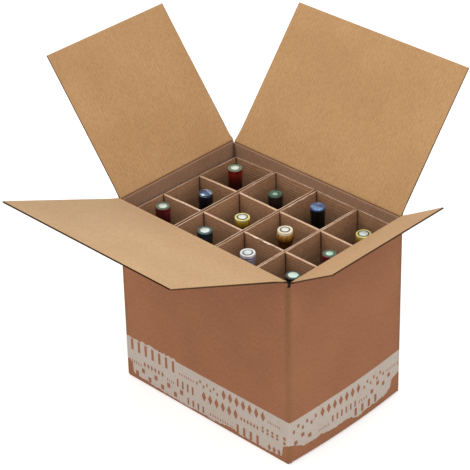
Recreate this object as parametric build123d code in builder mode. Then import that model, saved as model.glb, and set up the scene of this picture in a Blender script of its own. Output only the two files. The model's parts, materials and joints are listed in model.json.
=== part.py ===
from build123d import *
import os
from math import atan2, cos, degrees, pi, radians, sin

# Millimetres. X runs along the long side, Y along the short side, Z up.
# The origin is the middle of the underside. The box is made round its bottles, four by three.

# Sealed bottles
columns = 4
rows = 3
tallest_bottle = 368.5
body_radius = 38.5
shoulder_length = 152.0
neck_length = 91.0
shoulder_rings = 4
bottle_sides = 32
foot_chamfer = 2.0
neck_radius = 13.4
capsule_radius = 14.3
capsule_length = 62.0
capsule_chamfer = 1.2
capsule_turn_in = 0.6

# How much shorter than the tallest each bottle is, and how far it stands from the middle of its cell
bottle_shortness = [
    [0.0, 10.0, 2.5],
    [8.5, 22.5, 17.0],
    [12.0, 9.0, 3.0],
    [15.5, 16.0, 19.0],
]
bottle_offsets = [
    [(-2.0, 1.5), (7.5, 5.5), (-3.5, -1.0)],
    [(1.0, 2.0), (3.0, 0.0), (-2.0, -3.0)],
    [(3.5, 3.5), (3.5, 4.0), (-2.0, 0.5)],
    [(8.5, 7.0), (8.5, 5.5), (6.0, 3.0)],
]

# Insert: a folded sleeve for each column of three cells, with two folded webs across it
insert_board = 2.4
cell_room_across = 18.6
cell_room_along = 12.7
end_cell_spare = 12.5
sleeve_fold_radius = 3.2
sleeve_joint = 0.8
sleeve_gaps = [5.5, 4.5, 3.0, 1.2, 3.0]
sleeve_back_gap = 0.4
web_thickness = 5.0
web_slit = 0.3
web_end_gap = 0.3
tab_height = 60.0
tab_bottom = 190.0
tab_gap = 0.3
insert_drop = 21.3

# Carton, one folded and glued sheet of single-wall board
board = 3.6
head_room = 10.6
corner_radius = 5.0
bottom_fold_radius = 2.5
bottom_seam = 1.0
bottom_seam_place = 2.0
bottom_inset = 5.0
glue_tab = 35.0
glue_tab_taper = 12.0
glue_tab_play = 0.4

# Top flaps: the back right one closes first, then both short-side flaps, the front left one last
long_flap_short_of_width = 13.0
short_flap = 111.5
slot_width = 6.5
front_slot_depth = 6.0
back_slot_depth = 1.5
layer_gap = 0.3
hinge_gap = 0.2
open_back_left = 52.5
open_back_right = 51.5
open_front_left = 23.0
open_front_right = 31.0

cell_width = 2 * body_radius + cell_room_across
cell_length = 2 * body_radius + cell_room_along
sleeve_width = cell_width + 2 * insert_board
sleeve_length = rows * cell_length + 2 * web_thickness + 2 * insert_board + end_cell_spare
carton_length = 2 * board + columns * sleeve_width + sum(sleeve_gaps)
carton_width = 3 * board + glue_tab_play + sleeve_length + sleeve_back_gap
half_length = carton_length / 2
half_width = carton_width / 2
long_flap = carton_width - long_flap_short_of_width
floor = 2 * board
fold_height = floor + tallest_bottle + head_room
insert_top = fold_height - insert_drop
shoulder_top = tallest_bottle - neck_length
body_height = shoulder_top - shoulder_length
layer_step = board + layer_gap
fold_back_right = fold_height
fold_short_side = fold_height + layer_step
fold_front_left = fold_height + 2 * layer_step

os.makedirs("parts", exist_ok=True)


def save(part, name):
    part.label = name
    export_step(part, f"parts/{name}.step")


class Wall:
    """One side of the carton with its top flap. plane cuts across the wall at its outer face: local x points
    out of the carton, local y up, and local z runs along the wall. Its flap is half_span wide each way."""

    def __init__(self, out_x, out_y, length, fold, flap, opening):
        self.plane = Plane(
            origin=(out_x * half_length, out_y * half_width, 0),
            x_dir=(out_x, out_y, 0),
            z_dir=(out_y, -out_x, 0),
        )
        self.half_span = length / 2 - slot_width
        self.fold = fold
        self.flap = flap
        self.opening = radians(opening)


walls = {
    "back_left": Wall(-1, 0, carton_width, fold_short_side, long_flap, open_back_left),
    "front_right": Wall(1, 0, carton_width, fold_short_side, short_flap, open_front_right),
    "front_left": Wall(0, -1, carton_length, fold_front_left, long_flap, open_front_left),
    "back_right": Wall(0, 1, carton_length, fold_back_right, long_flap, open_back_right),
}

# The carton: four walls in one wrapped sheet
with BuildPart() as carton:
    with BuildSketch():
        RectangleRounded(carton_length, carton_width, corner_radius)
        RectangleRounded(
            carton_length - 2 * board,
            carton_width - 2 * board,
            corner_radius - board,
            mode=Mode.SUBTRACT,
        )
    extrude(amount=fold_front_left)

    # each wall ends in a mitre that falls inwards from its top fold
    clear_of_wall = 2 * board
    above_walls = fold_front_left + 2 * clear_of_wall
    for wall in walls.values():
        with BuildSketch(wall.plane):
            with BuildLine():
                Polyline(
                    (clear_of_wall, wall.fold + clear_of_wall),
                    (clear_of_wall, above_walls),
                    (-clear_of_wall, above_walls),
                    (-clear_of_wall, wall.fold - clear_of_wall),
                    close=True,
                )
            make_face()
        extrude(amount=wall.half_span, both=True, mode=Mode.SUBTRACT)

    # a slot at each upright corner parts the flaps and runs a little below the folds
    for x in (-1, 1):
        for y, slot_bottom in (
            (-1, fold_short_side - front_slot_depth),
            (1, fold_back_right - back_slot_depth),
        ):
            with BuildSketch(Plane.XY.offset(slot_bottom)):
                with Locations((x * half_length, y * half_width)):
                    Rectangle(2 * slot_width, 2 * slot_width)
            extrude(amount=fold_front_left, mode=Mode.SUBTRACT)

    # the long-side bottom flaps lie outside and meet just behind the middle line
    with BuildSketch(Plane.XY):
        Rectangle(carton_length - 2 * bottom_inset, carton_width - 2 * board)
        with Locations((0, bottom_seam_place)):
            Rectangle(carton_length, bottom_seam, mode=Mode.SUBTRACT)
    extrude(amount=board)

    # the short-side bottom flaps are glued on top of them and meet across the middle
    with BuildSketch(Plane.XY.offset(board)):
        Rectangle(carton_length - 2 * board, carton_width - 2 * board - 2 * bottom_seam)
        Rectangle(bottom_seam, carton_width, mode=Mode.SUBTRACT)
    extrude(amount=board)

    # under the short sides only the cut ends of the long-side flaps reach the ground
    with BuildSketch(Plane.XY):
        for x in (-1, 1):
            with Locations((x * half_length, 0)):
                Rectangle(2 * bottom_inset, 2 * carton_width)
    extrude(amount=board, mode=Mode.SUBTRACT)
    lowest_edges = carton.edges().filter_by(Axis.X).group_by(Axis.Z)[0].sort_by(Axis.Y)
    fillet([lowest_edges[0], lowest_edges[-1]], bottom_fold_radius)

    # the glue tab of the back left wall is stuck inside the front left wall
    tab_top = fold_short_side - 2 * front_slot_depth
    tab_x = -half_length + board
    with BuildSketch(Plane.XZ.offset(half_width - board)):
        with BuildLine():
            Polyline(
                (tab_x, floor),
                (tab_x, tab_top),
                (tab_x + glue_tab, tab_top - glue_tab_taper),
                (tab_x + glue_tab, floor + glue_tab_taper),
                close=True,
            )
        make_face()
    extrude(amount=-board)
save(carton.part, "carton")

# Top flaps, each hinged along the outer face of its wall and standing open
root = 2 * hinge_gap
for side, wall in walls.items():
    hinge = wall.plane.from_local_coords((hinge_gap, wall.fold, 0))
    tip = wall.plane.from_local_coords(
        (hinge_gap + cos(wall.opening), wall.fold + sin(wall.opening), 0)
    )
    with BuildPart() as top_flap:
        with BuildSketch(Plane(origin=hinge, x_dir=tip - hinge, z_dir=wall.plane.z_dir)):
            with BuildLine():
                Polyline((root, 0), (wall.flap, 0), (wall.flap, board), (root + board, board), close=True)
            make_face()
        extrude(amount=wall.half_span, both=True)
    save(top_flap.part, f"flap_{side}")


def ring_stack(rings):
    """Flat-sided frusta, close to round, one on another through rings of (height, radius)."""
    flat_share = cos(pi / bottle_sides)
    with BuildPart() as stack:
        for (low, radius), (high, next_radius) in zip(rings, rings[1:]):
            with BuildSketch(Plane.XY.offset(low)):
                RegularPolygon(radius, bottle_sides)
            fall = (radius - next_radius) * flat_share
            extrude(amount=high - low, taper=degrees(atan2(fall, high - low)))
    return stack.part


# The glass that every bottle shares: a straight body and a long falling shoulder
body_rings = [(0, body_radius - foot_chamfer), (foot_chamfer, body_radius)]
for ring in range(shoulder_rings + 1):
    share = ring / shoulder_rings
    ring_height = body_height + share * (shoulder_top - body_height)
    ring_radius = neck_radius + (body_radius - neck_radius) * (1 + cos(pi * share)) / 2
    body_rings.append((ring_height, ring_radius))
bottle_body = ring_stack(body_rings)

# Places in the insert: the webs and cell edges along Y, the tabs' slots, the webs' two legs
sleeve_y = half_width - board - sleeve_back_gap - sleeve_length / 2
web_pitch = cell_length + web_thickness
web_places = [sleeve_y - web_pitch / 2, sleeve_y + web_pitch / 2]
cell_edges = [sleeve_y - sleeve_length / 2 + insert_board]
for web_y in web_places:
    cell_edges += [web_y - web_thickness / 2, web_y + web_thickness / 2]
cell_edges.append(sleeve_y + sleeve_length / 2 - insert_board)
tab_middle = tab_bottom + tab_height / 2
web_length = cell_width - 2 * web_end_gap
slit_height = insert_top - web_thickness - floor
leg_thickness = (web_thickness - web_slit) / 2
leg_offset = (web_thickness + web_slit) / 4
round_start = insert_top - web_thickness / 2

for column in range(columns):
    middle = -half_length + board + sum(sleeve_gaps[: column + 1]) + (column + 0.5) * sleeve_width

    # a strip folded round three cells, its ends meeting in the end wall at the front
    with BuildPart() as sleeve:
        with BuildSketch(Plane.XY.offset(floor)):
            with Locations((middle, sleeve_y)):
                RectangleRounded(sleeve_width, sleeve_length, sleeve_fold_radius)
                RectangleRounded(
                    sleeve_width - 2 * insert_board,
                    sleeve_length - 2 * insert_board,
                    sleeve_fold_radius - insert_board,
                    mode=Mode.SUBTRACT,
                )
            with Locations((middle, cell_edges[0])):
                Rectangle(sleeve_joint, 4 * insert_board, mode=Mode.SUBTRACT)
        extrude(amount=insert_top - floor)
        with BuildSketch(Plane.YZ.offset(middle)):
            with Locations([(web_y, tab_middle) for web_y in web_places]):
                Rectangle(web_thickness + 2 * tab_gap, tab_height + 2 * tab_gap)
        extrude(amount=sleeve_width, both=True, mode=Mode.SUBTRACT)
    save(sleeve.part, f"column_sleeve_{column + 1}")

    # webs: a sheet folded double over its top edge, with a tab at each end in the sleeve's slots
    for row, web_y in enumerate(web_places):
        front, back = web_y - web_thickness / 2, web_y + web_thickness / 2
        with BuildPart() as web:
            with BuildSketch(Plane.YZ.offset(middle)):
                with BuildLine():
                    Polyline((front, round_start), (front, floor), (back, floor), (back, round_start))
                    ThreePointArc((back, round_start), (web_y, insert_top), (front, round_start))
                make_face()
                with Locations((web_y, floor + slit_height / 2)):
                    Rectangle(web_slit, slit_height, mode=Mode.SUBTRACT)
            extrude(amount=web_length / 2, both=True)
            with BuildSketch(Plane.YZ.offset(middle)):
                with Locations((web_y - leg_offset, tab_middle), (web_y + leg_offset, tab_middle)):
                    Rectangle(leg_thickness, tab_height)
            extrude(amount=sleeve_width / 2, both=True)
        save(web.part, f"cross_web_{column + 1}_{row + 1}")

    # sealed bottles, standing loose in their cells
    for row in range(rows):
        height = tallest_bottle - bottle_shortness[column][row]
        shift_x, shift_y = bottle_offsets[column][row]
        cell_middle = (cell_edges[2 * row] + cell_edges[2 * row + 1]) / 2
        capsule_foot = height - capsule_length
        neck_and_capsule = ring_stack(
            [
                (shoulder_top, neck_radius),
                (capsule_foot, neck_radius),
                (capsule_foot + capsule_turn_in, capsule_radius),
                (height - capsule_chamfer, capsule_radius),
                (height, capsule_radius - capsule_chamfer),
            ]
        )
        with BuildPart() as bottle:
            with Locations((middle + shift_x, cell_middle + shift_y, floor)):
                add(bottle_body)
                add(neck_and_capsule)
        save(bottle.part, f"bottle_{column + 1}_{row + 1}")
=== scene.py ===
import json
import math

import bpy
import numpy as np
from mathutils import Matrix, Vector


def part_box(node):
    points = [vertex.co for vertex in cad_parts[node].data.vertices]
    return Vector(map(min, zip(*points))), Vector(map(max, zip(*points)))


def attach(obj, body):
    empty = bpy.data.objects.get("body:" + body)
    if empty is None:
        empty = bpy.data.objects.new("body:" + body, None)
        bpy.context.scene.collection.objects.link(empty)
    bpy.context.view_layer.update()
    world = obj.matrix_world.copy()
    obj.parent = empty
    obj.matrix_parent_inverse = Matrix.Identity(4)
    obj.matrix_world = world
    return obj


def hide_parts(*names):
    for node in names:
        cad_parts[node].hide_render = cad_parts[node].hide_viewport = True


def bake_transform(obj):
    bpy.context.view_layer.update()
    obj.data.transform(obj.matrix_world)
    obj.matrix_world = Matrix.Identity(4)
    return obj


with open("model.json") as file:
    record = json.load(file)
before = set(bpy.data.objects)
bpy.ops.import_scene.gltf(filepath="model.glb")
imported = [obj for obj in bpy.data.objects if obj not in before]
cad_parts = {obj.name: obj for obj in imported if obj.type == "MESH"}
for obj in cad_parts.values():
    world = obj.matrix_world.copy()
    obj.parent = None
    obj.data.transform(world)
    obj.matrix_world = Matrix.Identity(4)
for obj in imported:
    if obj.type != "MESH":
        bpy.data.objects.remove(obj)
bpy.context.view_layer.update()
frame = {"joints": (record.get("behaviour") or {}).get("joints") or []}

# Metres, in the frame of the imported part. Sizes given in millimetres are written with MM.
MM = 0.001
UP = np.array((0.0, 0.0, 1.0))

# Board: two liners with a fluted sheet between them
BOARD = 3.6 * MM
LINER = 0.35 * MM
FLUTE_SHEET = 0.3 * MM
FLUTE_INSET = 0.4 * MM
FLUTE_PITCH = 7.9 * MM
WASHBOARD = 0.05 * MM
STEPS_PER_FLUTE = 4
FINE_STEPS_PER_FLUTE = 10
INSERT_BOARD = 2.4 * MM
INSERT_LINER = 0.3 * MM
INSERT_PITCH = 6.2 * MM
INSERT_WASHBOARD = 0.09 * MM
FINE_DEPTH = 110 * MM
HIDDEN_FLUTES = 20 * MM
HIDDEN_ROWS = 60 * MM
INSERT_ROWS = INSERT_PITCH / 6
CLOSED_EDGE = 1.8 * MM
# how much of a web's fold is pale: worn liner and painted highlight
WEAR_AND_HIGHLIGHT_SHARE = 0.8
CORNER_RADIUS = 5.0 * MM
SLOT_WIDTH = 6.5 * MM
FRONT_SLOT_DEPTH = 6.0 * MM
BACK_SLOT_DEPTH = 1.5 * MM
CREASE_REACH = 9.0 * MM
CREASE_CORE = 1.4 * MM
CREASE_DENT = 1.5 * MM
CREASE_LINE = 0.8 * MM
CREASE_ROLL = 3.5 * MM
BEND_END = 5.5 * MM
# how far from the corners the painted shade inside and the darker stripe outside reach
CORNER_GLOOM = 5.0 * MM
WALL_ROWS = 30 * MM
OUTER_FOLD = 2.5 * MM
INNER_FOLD = 2.0 * MM
OUTER_LEAF_INSET = 5.0 * MM
SEAM = 1.0 * MM
SEAM_PLACE = 2.0 * MM
STRIPE_LOW = 230 * MM
STRIPE_HIGH = 350 * MM
# how light the painted shade leaves the inside of the upright corners
CORNER_LIGHT = 0.4

carton_low, carton_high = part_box("carton")
HALF_LENGTH = (carton_high.x - carton_low.x) / 2
HALF_WIDTH = (carton_high.y - carton_low.y) / 2
FLOOR = 2 * BOARD


# Colours

def srgb(red, green, blue):
    """The linear colour of an 8-bit screen colour, with alpha."""
    def linear(value):
        share = value / 255
        return share / 12.92 if share <= 0.04045 else ((share + 0.055) / 1.055) ** 2.4
    return (linear(red), linear(green), linear(blue), 1.0)


class Nodes:
    """A node tree, with short calls for its nodes. A socket takes a value or another node's output."""

    def __init__(self, tree):
        self.tree = tree

    def feed(self, socket, value):
        if isinstance(value, bpy.types.NodeSocket):
            self.tree.links.new(value, socket)
        else:
            socket.default_value = value

    def node(self, kind, sockets, output=0, **settings):
        """One output of a new node, with its settings and what its sockets take."""
        made = self.tree.nodes.new(kind)
        for key, value in settings.items():
            setattr(made, key, value)
        for key, value in sockets.items():
            self.feed(made.inputs[key], value)
        return made.outputs[output]

    def math(self, operation, first, second=0.0):
        return self.node("ShaderNodeMath", {0: first, 1: second}, operation=operation)

    def place(self, scale, sheet=False):
        """Position in the object or in the sheet (across the flutes, along them, depth), times scale."""
        if sheet:
            where = self.node("ShaderNodeAttribute", {}, "Vector", attribute_name="sheet")
        else:
            where = self.node("ShaderNodeTexCoord", {}, "Object")
        scale = scale if isinstance(scale, tuple) else (scale,) * 3
        return self.node("ShaderNodeMapping", {"Vector": where, "Scale": scale})

    def part(self, place, axis):
        """One coordinate of a place, 0 to 2."""
        return self.node("ShaderNodeSeparateXYZ", {0: place}, axis)

    def noise(self, scale, detail, roughness=0.5, sheet=False):
        """Noise with about scale features per metre."""
        where = self.place(scale, sheet)
        sockets = {"Vector": where, "Scale": 1.0, "Detail": detail, "Roughness": roughness}
        return self.node("ShaderNodeTexNoise", sockets)

    def window(self, value, low, high):
        """0 below low, 1 above high, straight between."""
        return self.node("ShaderNodeMapRange", {"Value": value, "From Min": low, "From Max": high})

    def between(self, value, low, high):
        """low where value is 0, high where it is 1."""
        return self.node("ShaderNodeMapRange", {"Value": value, "To Min": low, "To Max": high})

    def mix(self, share, first, second):
        return self.node("ShaderNodeMix", {0: share, 6: first, 7: second}, 2, data_type="RGBA")


class Shader(Nodes):
    """A material with its principled shader. looks are values of the shader's inputs."""

    def __init__(self, name, looks):
        self.material = bpy.data.materials.new(name)
        self.material.use_nodes = True
        super().__init__(self.material.node_tree)
        self.looks(looks)

    def looks(self, looks):
        for key, value in looks.items():
            self.feed(self.tree.nodes["Principled BSDF"].inputs[key], value)

    def finish(self, colour, relief, depth, rough=None, low=0.0, high=1.0):
        """Joins the colour, a relief of this depth and, if rough is given, a roughness from low to high."""
        bump = self.node("ShaderNodeBump", {"Height": relief, "Distance": depth, "Strength": 1.0})
        self.looks({"Base Color": colour, "Normal": bump})
        if rough is not None:
            self.looks({"Roughness": self.between(rough, low, high)})
        return self.material


def kraft(name, tones, stripe, specks, pitch=FLUTE_PITCH, insert=False, sheen=0.0, fold=None):
    """Kraft liner in a pale, a middle and a dark tone: blotches, fibres drawn out along the sheet, specks,
    and the faint lines of the flutes. On the insert the lines are broader, and painted shade darkens it
    downwards into the cells."""
    shader = Shader(name, {
        "Roughness": 0.85, "Specular IOR Level": 0.25,
        "Sheen Weight": sheen, "Sheen Roughness": 0.4, "Sheen Tint": srgb(255, 232, 200),
    })
    pale, middle, dark = (srgb(*tone) for tone in tones)
    window, mix, noise = shader.window, shader.mix, shader.noise
    base = mix(window(noise(9, 5, 0.6), 0.3, 0.7), middle, pale)
    if insert:
        # painted shade: deeper into the cells the insert turns to a darker shade tone
        near_top = window(shader.part(shader.place(1), 2), INSERT_TOP - PAINTED_CELL_SHADE_DEPTH, INSERT_TOP - 8 * MM)
        base = mix(near_top, PAINTED_CELL_SHADE, base)
    fibres = noise((1500, 160, 1500), 3, sheet=True)
    base = mix(window(fibres, 0.45, 0.85), base, dark)
    flecks = window(noise(420, 2, 0.7), 0.6, 0.74)
    base = mix(shader.math("MULTIPLY", flecks, specks), base, dark)
    wave = shader.math("COSINE", shader.part(shader.place(2 * math.pi / pitch, sheet=True), 0))
    uneven = noise((150, 6, 60) if insert else (60, 14, 60), 3, sheet=True)
    lines = shader.math("MULTIPLY", window(wave, 0.1 if insert else 0.5, 1.0), stripe)
    lines = shader.math("MULTIPLY", lines, window(uneven, 0.25, 0.7))
    base = mix(lines, base, dark)
    # shade below 1 turns it to the fold colour: painted shade in corners, joints and gaps, and darker stripes
    shade = shader.node("ShaderNodeAttribute", {}, "Fac", attribute_name="shade")
    grain = shader.math("ADD", fibres, noise(900, 2))
    return shader.finish(mix(shade, fold or FOLD_SHADE, base), grain, 0.12 * MM, fibres, 0.72, 0.95)


def cut_edge(name, pale, dark, patches=0.0):
    """The raw cut of a sheet: torn fibres, pale and dark by turns. patches is how far longer stretches
    differ."""
    shader = Shader(name, {"Roughness": 0.95, "Specular IOR Level": 0.1})
    pale, dark = srgb(*pale), srgb(*dark)
    fibres = shader.noise(700, 4, 0.7)
    base = shader.mix(shader.window(fibres, 0.35, 0.65), dark, pale)
    share = shader.math("MULTIPLY", shader.window(shader.noise(38, 2), 0.4, 0.62), patches)
    return shader.finish(shader.mix(share, base, dark), fibres, 0.2 * MM)


def ink(name, colour, worn):
    """Thin ink on kraft: slightly uneven, with the brown showing through where it is worn."""
    shader = Shader(name, {"Roughness": 0.7, "Specular IOR Level": 0.3})
    colour, worn = srgb(*colour), srgb(*worn)
    wear = shader.noise(260, 4, 0.7)
    base = shader.mix(shader.window(wear, 0.56, 0.78), colour, worn)
    base = shader.mix(shader.math("MULTIPLY", shader.noise(25, 3), 0.25), base, worn)
    return shader.finish(base, wear, 0.05 * MM, wear, 0.6, 0.85)


def foil(name, colour, dark, gloss, metallic=0.35, top=None, fade=0.0, painted_highlights=None, creased=False):
    """Lacquered capsule foil, with faint smears and rolling marks. Where top is given, painted shade takes it
    to the dark tone over the height fade below it. The tones given for a domed top are a painted highlight
    and patches of painted reflection. creased foil has fine upright lines."""
    shader = Shader(name, {
        "Roughness": gloss, "Specular IOR Level": 0.5, "Metallic": metallic, "Coat Weight": 0.5,
        "Coat Roughness": 0.12,
    })
    colour, dark = srgb(*colour), srgb(*dark)
    window, mix, noise = shader.window, shader.mix, shader.noise
    smears = noise((60, 60, 22), 4)
    base = mix(window(smears, 0.35, 0.75), colour, dark)
    if top is not None:
        height = shader.part(shader.place(1), 2)
        # painted shade: lower down the side darkens to the dark tone
        base = mix(window(height, top - fade, top - 5 * MM), dark, base)
        if creased:
            creases = window(noise((420, 420, 8), 2), 0.44, 0.6)
            base = mix(shader.math("MULTIPLY", creases, 0.6), base, dark)
        if painted_highlights is not None:
            # painted highlight: a lighter top, with patches of painted reflection
            on_top = window(height, top - 6.5 * MM, top - 2.5 * MM)
            base = mix(on_top, base, srgb(*painted_highlights[0]))
            patches = shader.math("MULTIPLY", window(noise(95, 1), 0.46, 0.66), on_top)
            base = mix(patches, base, srgb(*painted_highlights[1]))
    return shader.finish(base, noise((90, 90, 700), 2), 0.06 * MM, smears, gloss * 0.7, gloss * 1.6)


def glass(name, colour, light):
    """A full bottle: dark, almost opaque coloured glass with a clear gloss."""
    shader = Shader(name, {
        "Roughness": 0.06, "Specular IOR Level": 0.5, "Coat Weight": 1.0, "Coat Roughness": 0.03,
    })
    streaks = shader.noise((30, 30, 10), 2)
    base = shader.mix(shader.window(streaks, 0.3, 0.8), srgb(*colour), srgb(*light))
    return shader.finish(base, shader.noise((120, 120, 60), 2), 0.04 * MM, streaks, 0.04, 0.1)


INSERT_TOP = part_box("column_sleeve_1")[1].z
# Painted shade deep in the insert's cells: how far down it reaches, and its tone
PAINTED_CELL_SHADE_DEPTH = 120 * MM
PAINTED_CELL_SHADE = srgb(140, 115, 82)
FOLD_SHADE = srgb(98, 72, 55)
CORNER_SHADE = srgb(118, 86, 50)

OUTER_TONES = ((170, 114, 80), (160, 106, 75), (118, 75, 52))
OUTER = kraft("outer_kraft", OUTER_TONES, 0.1, 0.35, fold=CORNER_SHADE)
CORNER_OUTSIDE = kraft("corner_outside", OUTER_TONES, 0.0, 0.35, fold=CORNER_SHADE)
# darker tones inside the upright corners: painted shade
CORNER_INSIDE = kraft("corner_inside", ((150, 114, 90), (138, 104, 82), (100, 74, 58)), 0.05, 0.35)
INNER_TONES = ((199, 158, 111), (188, 147, 101), (150, 106, 68))
INNER = kraft("inner_kraft", INNER_TONES, 0.2, 0.3, sheen=0.4)
# the inner liner again, paler and whiter: painted sheen on the front left flap
PAINTED_SHEEN_TONES = ((206, 169, 125), (196, 158, 114), (156, 115, 78))
INNER_PAINTED_SHEEN = kraft("inner_kraft_painted_sheen", PAINTED_SHEEN_TONES, 0.2, 0.3, sheen=0.4)
WALL_INSIDE = kraft("wall_inside", ((176, 140, 113), (162, 126, 101), (112, 84, 66)), 0.2, 0.4)
CREASE = kraft("crease_kraft", ((126, 86, 62), (112, 74, 54), (78, 50, 36)), 0.1, 0.4)
INSERT_TONES = ((202, 154, 118), (178, 134, 101), (98, 74, 54))
INSERT = kraft("insert_kraft", INSERT_TONES, 0.5, 0.4, INSERT_PITCH, insert=True)
# pale folded tops of the webs: worn liner, and painted highlight where light catches the fold
WEB_FOLD_WEAR_AND_HIGHLIGHT = kraft("web_fold_wear_and_highlight", ((242, 210, 180), (212, 174, 143), (154, 118, 92)), 0.0, 0.5, INSERT_PITCH)
# dark partly as the sheet's own colour, partly as painted shade along the cut edges
FLUTES = cut_edge("fluted_sheet", (88, 64, 46), (54, 38, 27))
SIDE_CUT = cut_edge("side_cut", (120, 86, 60), (82, 58, 40))
TORN_LINER = cut_edge("torn_liner", (255, 240, 222), (226, 198, 172))
# dark partly as the liner's own cut, partly as painted shade along the edges
CUT = cut_edge("liner_cut", (112, 80, 56), (70, 48, 34))
PALE_CUT = cut_edge("insert_cut", (248, 222, 198), (184, 148, 122), 0.75)
GREY_INK = ink("grey_ink", (199, 188, 177), (162, 130, 108))


# Mesh building

def add_piece(name, points, faces, slots, materials, sharp_angle):
    """Links a new object made of these faces. Edges below sharp_angle, in degrees, are shaded smooth."""
    mesh = bpy.data.meshes.new(name)
    mesh.from_pydata(points, [], faces)
    for material in materials:
        mesh.materials.append(material)
    mesh.polygons.foreach_set("material_index", slots)
    mesh.polygons.foreach_set("use_smooth", np.ones(len(faces), bool))
    mesh.update()
    mesh.set_sharp_from_angle(angle=math.radians(sharp_angle))
    piece = bpy.data.objects.new(name, mesh)
    bpy.context.collection.objects.link(piece)
    return piece


class Maker:
    """Collects sheets into one mesh. place turns (across, along, depth) arrays in the sheet into points."""

    def __init__(self):
        self.points, self.sheet, self.shade, self.faces, self.slots = [], [], [], [], []
        self.count = 0

    def add_points(self, place, s, t, d, shade):
        s, t, d, shade = np.broadcast_arrays(s, t, d, shade)
        made = place(s, t, d)
        self.points.append(made.reshape(-1, 3))
        self.sheet.append(np.stack([s, t, d], axis=-1).reshape(-1, 3))
        self.shade.append(shade.ravel())
        index = self.count + np.arange(s.size).reshape(s.shape)
        self.count += s.size
        return index

    def quads(self, index, slot, flip=False):
        """Faces over a grid of points. slot is one material number, or a grid of them, one for each face."""
        a, b, c, d = index[:-1, :-1], index[:-1, 1:], index[1:, 1:], index[1:, :-1]
        order = (a, d, c, b) if flip else (a, b, c, d)
        made = np.stack([corner.ravel() for corner in order], axis=-1)
        self.faces.append(made)
        self.slots.append(np.broadcast_to(slot, a.shape).ravel())

    def shell(self, place, s, t, low, high, slots, shade=1.0):
        """A closed thin sheet over a grid of s and t, from depth low to depth high. slots are the material
        numbers of the low face, the high face and the cut edge. shade is how light its points are."""
        s, t = np.broadcast_arrays(s, t)
        low_index = self.add_points(place, s, t, low, shade)
        high_index = self.add_points(place, s, t, high, shade)
        self.quads(low_index, slots[0], flip=True)
        self.quads(high_index, slots[1])
        for rim, flip in (
            ((low_index[0], high_index[0]), False),
            ((low_index[-1], high_index[-1]), True),
            ((low_index[:, 0], high_index[:, 0]), True),
            ((low_index[:, -1], high_index[:, -1]), False),
        ):
            self.quads(np.stack(rim), slots[2], flip=flip)

    def finish(self, name, materials, body, replaced=(), slot=None, blend=None):
        points, faces, slots = (np.concatenate(part) for part in (self.points, self.faces, self.slots))
        piece = add_piece(name, points.tolist(), faces.tolist(), slots.astype(np.int32), materials, 35)
        attribute = piece.data.attributes.new("sheet", "FLOAT_VECTOR", "POINT")
        attribute.data.foreach_set("vector", np.concatenate(self.sheet).astype(np.float32).ravel())
        attribute = piece.data.attributes.new("shade", "FLOAT", "POINT")
        attribute.data.foreach_set("value", np.concatenate(self.shade).astype(np.float32))
        if blend:
            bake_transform(piece)
        else:
            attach(piece, body)
        if replaced:
            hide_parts(*replaced)


def steps(low, high, spacing):
    return np.linspace(low, high, max(1, round((high - low) / spacing)) + 1)


def fluted_board(maker, place, s, t_rows, slots, wash=WASHBOARD, squeeze=None, shades=None):
    """Single-wall board over columns s, across the flutes, and rows t_rows, along them: the low liner, the
    high liner and the fluted sheet. slots are the materials of the low face, the high face, the cuts and the
    flutes. squeeze(s, t) is the share of its thickness that the board keeps. shades(s, t) gives how light
    the low and the high liner are."""
    low_face, high_face, cut, flutes = slots
    grid_s, grid_t = np.meshgrid(s, t_rows)
    low_shade, high_shade = shades(grid_s, grid_t) if shades else (1.0, 1.0)
    keep = squeeze(grid_s, grid_t) if squeeze else 1.0
    wave = wash * np.cos(2 * math.pi * grid_s / FLUTE_PITCH)
    middle = BOARD / 2
    outer_skin = middle - middle * keep + wash + wave * keep
    inner_skin = middle + middle * keep - wash - wave * keep
    maker.shell(place, grid_s, grid_t, outer_skin, outer_skin + LINER, (low_face, flutes, cut), low_shade)
    maker.shell(place, grid_s, grid_t, inner_skin - LINER, inner_skin, (flutes, high_face, cut), high_shade)
    fine = steps(s[0], s[-1], FLUTE_PITCH / FINE_STEPS_PER_FLUTE)
    fine_s, fine_t = np.meshgrid(fine, (t_rows[0], t_rows[-1]))
    share = squeeze(fine_s, fine_t) if squeeze else 1.0
    swing = middle - LINER - FLUTE_SHEET / 2 - 2 * wash
    line = middle - swing * share * np.cos(2 * math.pi * fine_s / FLUTE_PITCH)
    fine_t = fine_t + np.array([[FLUTE_INSET], [-FLUTE_INSET]])
    maker.shell(place, fine_s, fine_t, line - FLUTE_SHEET / 2, line + FLUTE_SHEET / 2, (flutes,) * 3)


# The four sides of the carton, from the joints that the frame declares

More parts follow.
